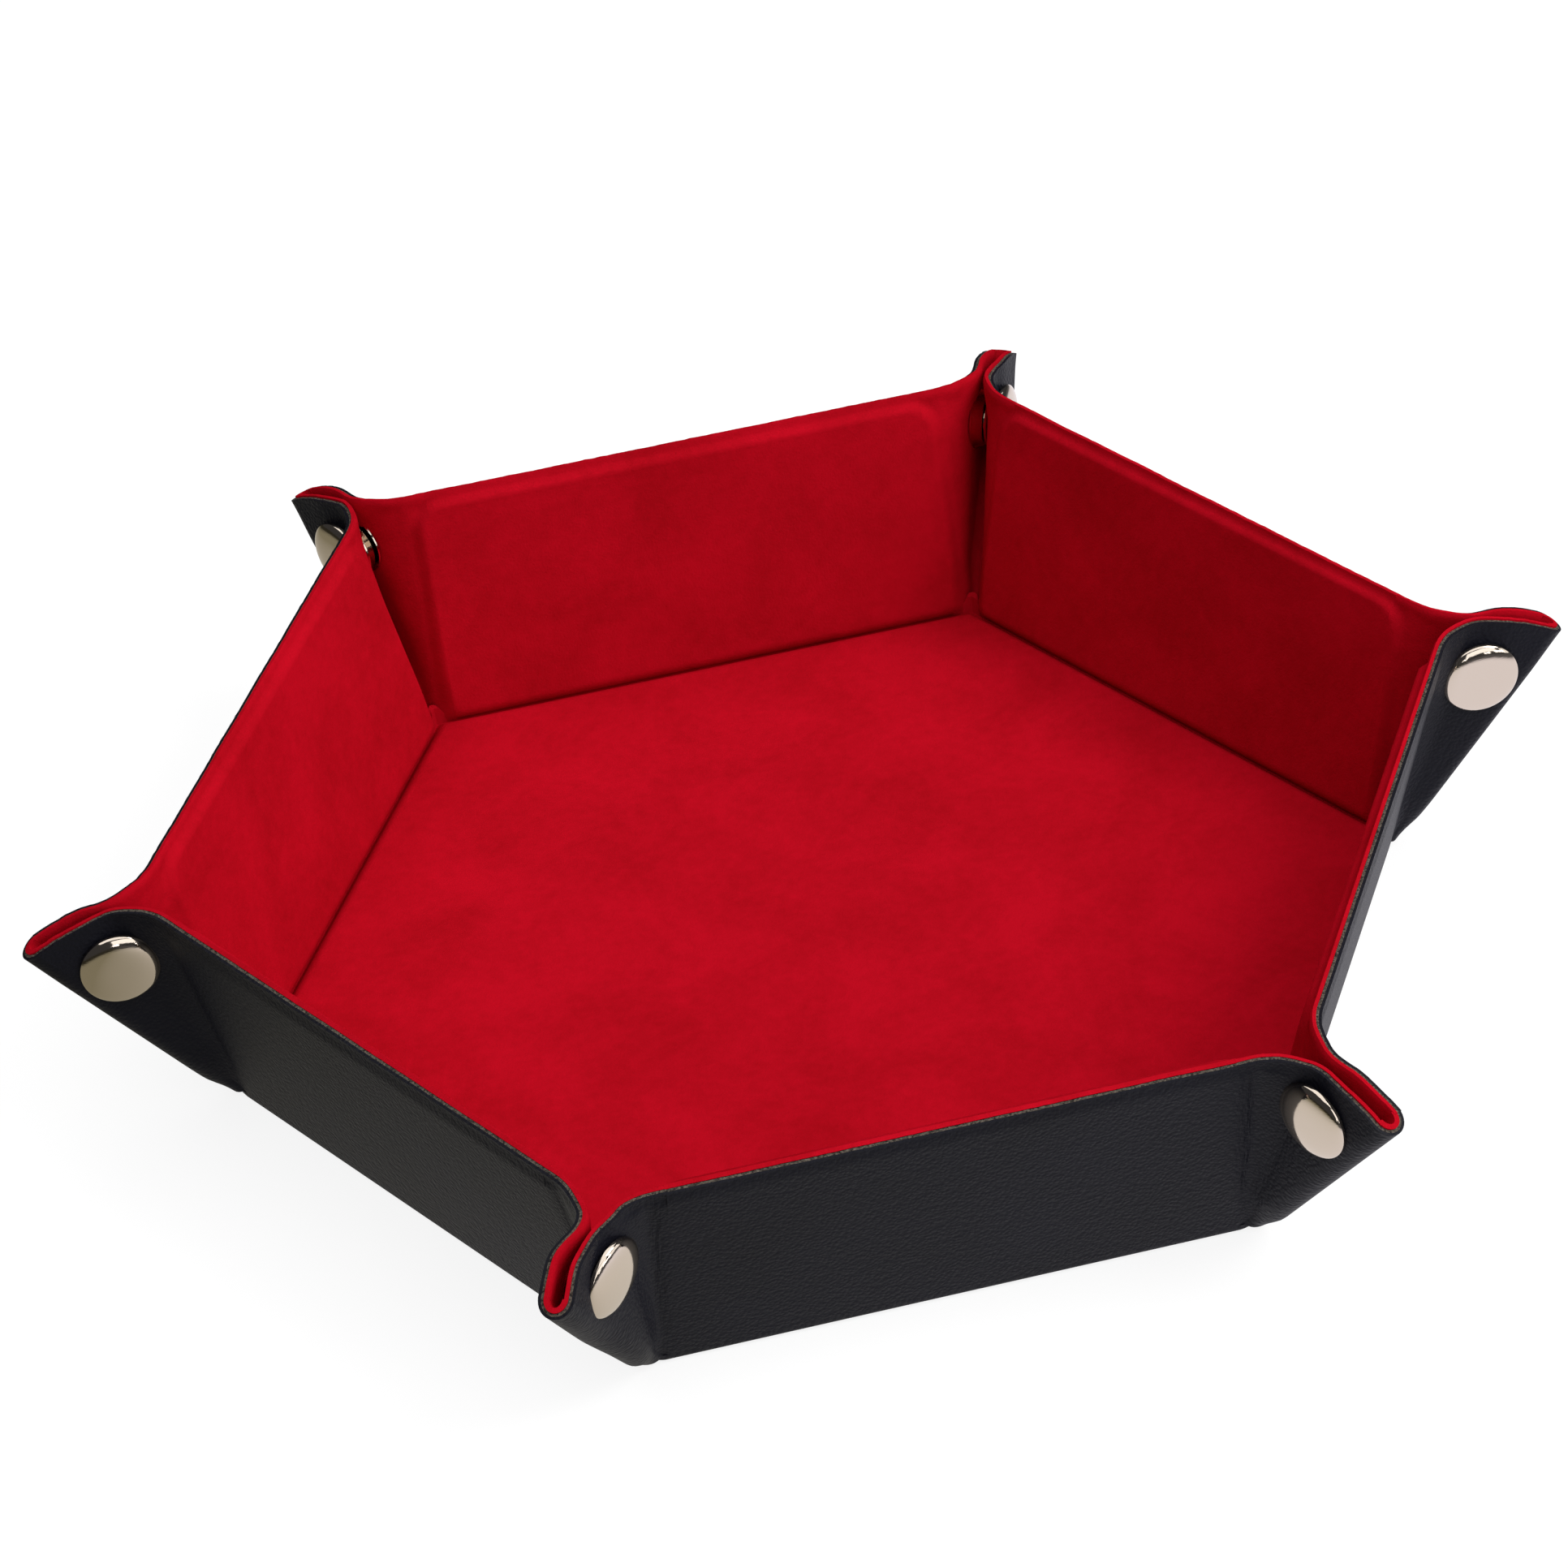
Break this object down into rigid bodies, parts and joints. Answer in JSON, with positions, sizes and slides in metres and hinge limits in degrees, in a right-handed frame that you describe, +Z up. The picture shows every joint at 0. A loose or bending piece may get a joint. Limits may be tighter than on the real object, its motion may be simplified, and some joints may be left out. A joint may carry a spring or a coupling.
{
  "type": "folding dice tray",
  "caption": "Low six-sided rolling tray of lined synthetic leather that folds up from a flat sheet and is held at each corner by a press stud.",
  "frame": {"origin": "centre of the underside, on the surface that the tray stands on", "axes": "+Z up, +X towards the right-hand corner of the hexagon, -Y out through the front wall"},
  "size_m": [0.2482, 0.2182, 0.0423],
  "materials": {
    "leather": "fine pebbled black synthetic leather, semi-matt",
    "velvet": "short bright red pile",
    "greyboard": "plain grey board, hidden between leather and lining",
    "nickel": "polished nickel plate"
  },
  "bodies": {
    "floor": {"floor_leather": "leather", "floor_board": "greyboard", "floor_lining": "velvet"},
    "front_wall": {"front_wall_leather": "leather", "front_wall_board": "greyboard", "front_wall_lining": "velvet"},
    "front_socket_flap": {"front_socket_flap_leather": "leather", "front_socket_flap_lining": "velvet", "front_snap_socket": "nickel"},
    "front_stud_flap": {"front_stud_flap_leather": "leather", "front_stud_flap_lining": "velvet", "front_snap_stud": "nickel"},
    "front_left_wall": {"front_left_wall_leather": "leather", "front_left_wall_board": "greyboard", "front_left_wall_lining": "velvet"},
    "front_left_socket_flap": {"front_left_socket_flap_leather": "leather", "front_left_socket_flap_lining": "velvet", "front_left_snap_socket": "nickel"},
    "front_left_stud_flap": {"front_left_stud_flap_leather": "leather", "front_left_stud_flap_lining": "velvet", "front_left_snap_stud": "nickel"},
    "front_right_wall": {"front_right_wall_leather": "leather", "front_right_wall_board": "greyboard", "front_right_wall_lining": "velvet"},
    "front_right_socket_flap": {"front_right_socket_flap_leather": "leather", "front_right_socket_flap_lining": "velvet", "front_right_snap_socket": "nickel"},
    "front_right_stud_flap": {"front_right_stud_flap_leather": "leather", "front_right_stud_flap_lining": "velvet", "front_right_snap_stud": "nickel"},
    "back_right_wall": {"back_right_wall_leather": "leather", "back_right_wall_board": "greyboard", "back_right_wall_lining": "velvet"},
    "back_right_socket_flap": {"back_right_socket_flap_leather": "leather", "back_right_socket_flap_lining": "velvet", "back_right_snap_socket": "nickel"},
    "back_right_stud_flap": {"back_right_stud_flap_leather": "leather", "back_right_stud_flap_lining": "velvet", "back_right_snap_stud": "nickel"},
    "back_wall": {"back_wall_leather": "leather", "back_wall_board": "greyboard", "back_wall_lining": "velvet"},
    "back_socket_flap": {"back_socket_flap_leather": "leather", "back_socket_flap_lining": "velvet", "back_snap_socket": "nickel"},
    "back_stud_flap": {"back_stud_flap_leather": "leather", "back_stud_flap_lining": "velvet", "back_snap_stud": "nickel"},
    "back_left_wall": {"back_left_wall_leather": "leather", "back_left_wall_board": "greyboard", "back_left_wall_lining": "velvet"},
    "back_left_socket_flap": {"back_left_socket_flap_leather": "leather", "back_left_socket_flap_lining": "velvet", "back_left_snap_socket": "nickel"},
    "back_left_stud_flap": {"back_left_stud_flap_leather": "leather", "back_left_stud_flap_lining": "velvet", "back_left_snap_stud": "nickel"}
  },
  "joints": [
    {"name": "front_wall_fold", "type": "hinge", "parent": "floor", "child": "front_wall", "pos_m": [0, -0.08227, 0.00045], "axis": [1, 0, 0], "range_deg": [0, 76.5]},
    {"name": "front_socket_flap_fold", "type": "hinge", "parent": "front_wall", "child": "front_socket_flap", "pos_m": [-0.04444, -0.08227, 0.00045], "axis": [0.1336, 0.2314, -0.9637], "range_deg": [0, 60.92]},
    {"name": "front_stud_flap_fold", "type": "hinge", "parent": "front_wall", "child": "front_stud_flap", "pos_m": [0.04444, -0.08227, 0.00045], "axis": [0.1336, -0.2314, 0.9637], "range_deg": [0, 60.92]},
    {"name": "front_left_wall_fold", "type": "hinge", "parent": "floor", "child": "front_left_wall", "pos_m": [-0.07125, -0.04114, 0.00045], "axis": [0.5, -0.866, 0], "range_deg": [0, 76.5]},
    {"name": "front_left_socket_flap_fold", "type": "hinge", "parent": "front_left_wall", "child": "front_left_socket_flap", "pos_m": [-0.09347, -0.00265, 0.00045], "axis": [0.2671, 0, -0.9637], "range_deg": [0, 60.92]},
    {"name": "front_left_stud_flap_fold", "type": "hinge", "parent": "front_left_wall", "child": "front_left_stud_flap", "pos_m": [-0.04903, -0.07962, 0.00045], "axis": [-0.1336, -0.2314, 0.9637], "range_deg": [0, 60.92]},
    {"name": "front_right_wall_fold", "type": "hinge", "parent": "floor", "child": "front_right_wall", "pos_m": [0.07125, -0.04114, 0.00045], "axis": [0.5, 0.866, 0], "range_deg": [0, 76.5]},
    {"name": "front_right_socket_flap_fold", "type": "hinge", "parent": "front_right_wall", "child": "front_right_socket_flap", "pos_m": [0.04903, -0.07962, 0.00045], "axis": [-0.1336, 0.2314, -0.9637], "range_deg": [0, 60.92]},
    {"name": "front_right_stud_flap_fold", "type": "hinge", "parent": "front_right_wall", "child": "front_right_stud_flap", "pos_m": [0.09347, -0.00265, 0.00045], "axis": [0.2671, 0, 0.9637], "range_deg": [0, 60.92]},
    {"name": "back_right_wall_fold", "type": "hinge", "parent": "floor", "child": "back_right_wall", "pos_m": [0.07125, 0.04114, 0.00045], "axis": [-0.5, 0.866, 0], "range_deg": [0, 76.5]},
    {"name": "back_right_socket_flap_fold", "type": "hinge", "parent": "back_right_wall", "child": "back_right_socket_flap", "pos_m": [0.09347, 0.00265, 0.00045], "axis": [-0.2671, 0, -0.9637], "range_deg": [0, 60.92]},
    {"name": "back_right_stud_flap_fold", "type": "hinge", "parent": "back_right_wall", "child": "back_right_stud_flap", "pos_m": [0.04903, 0.07962, 0.00045], "axis": [0.1336, 0.2314, 0.9637], "range_deg": [0, 60.92]},
    {"name": "back_wall_fold", "type": "hinge", "parent": "floor", "child": "back_wall", "pos_m": [0, 0.08227, 0.00045], "axis": [-1, 0, 0], "range_deg": [0, 76.5]},
    {"name": "back_socket_flap_fold", "type": "hinge", "parent": "back_wall", "child": "back_socket_flap", "pos_m": [0.04444, 0.08227, 0.00045], "axis": [-0.1336, -0.2314, -0.9637], "range_deg": [0, 60.92]},
    {"name": "back_stud_flap_fold", "type": "hinge", "parent": "back_wall", "child": "back_stud_flap", "pos_m": [-0.04444, 0.08227, 0.00045], "axis": [-0.1336, 0.2314, 0.9637], "range_deg": [0, 60.92]},
    {"name": "back_left_wall_fold", "type": "hinge", "parent": "floor", "child": "back_left_wall", "pos_m": [-0.07125, 0.04114, 0.00045], "axis": [-0.5, -0.866, 0], "range_deg": [0, 76.5]},
    {"name": "back_left_socket_flap_fold", "type": "hinge", "parent": "back_left_wall", "child": "back_left_socket_flap", "pos_m": [-0.04903, 0.07962, 0.00045], "axis": [0.1336, -0.2314, -0.9637], "range_deg": [0, 60.92]},
    {"name": "back_left_stud_flap_fold", "type": "hinge", "parent": "back_left_wall", "child": "back_left_stud_flap", "pos_m": [-0.09347, 0.00265, 0.00045], "axis": [-0.2671, 0, 0.9637], "range_deg": [0, 60.92]}
  ],
  "couplings": [
    {"joint": "front_socket_flap_fold", "follows": "front_wall_fold", "ratio": 0.79621},
    {"joint": "front_stud_flap_fold", "follows": "front_wall_fold", "ratio": 0.79621},
    {"joint": "front_left_wall_fold", "follows": "front_wall_fold", "ratio": 1},
    {"joint": "front_left_socket_flap_fold", "follows": "front_wall_fold", "ratio": 0.79621},
    {"joint": "front_left_stud_flap_fold", "follows": "front_wall_fold", "ratio": 0.79621},
    {"joint": "front_right_wall_fold", "follows": "front_wall_fold", "ratio": 1},
    {"joint": "front_right_socket_flap_fold", "follows": "front_wall_fold", "ratio": 0.79621},
    {"joint": "front_right_stud_flap_fold", "follows": "front_wall_fold", "ratio": 0.79621},
    {"joint": "back_right_wall_fold", "follows": "front_wall_fold", "ratio": 1},
    {"joint": "back_right_socket_flap_fold", "follows": "front_wall_fold", "ratio": 0.79621},
    {"joint": "back_right_stud_flap_fold", "follows": "front_wall_fold", "ratio": 0.79621},
    {"joint": "back_wall_fold", "follows": "front_wall_fold", "ratio": 1},
    {"joint": "back_socket_flap_fold", "follows": "front_wall_fold", "ratio": 0.79621},
    {"joint": "back_stud_flap_fold", "follows": "front_wall_fold", "ratio": 0.79621},
    {"joint": "back_left_wall_fold", "follows": "front_wall_fold", "ratio": 1},
    {"joint": "back_left_socket_flap_fold", "follows": "front_wall_fold", "ratio": 0.79621},
    {"joint": "back_left_stud_flap_fold", "follows": "front_wall_fold", "ratio": 0.79621}
  ]
}
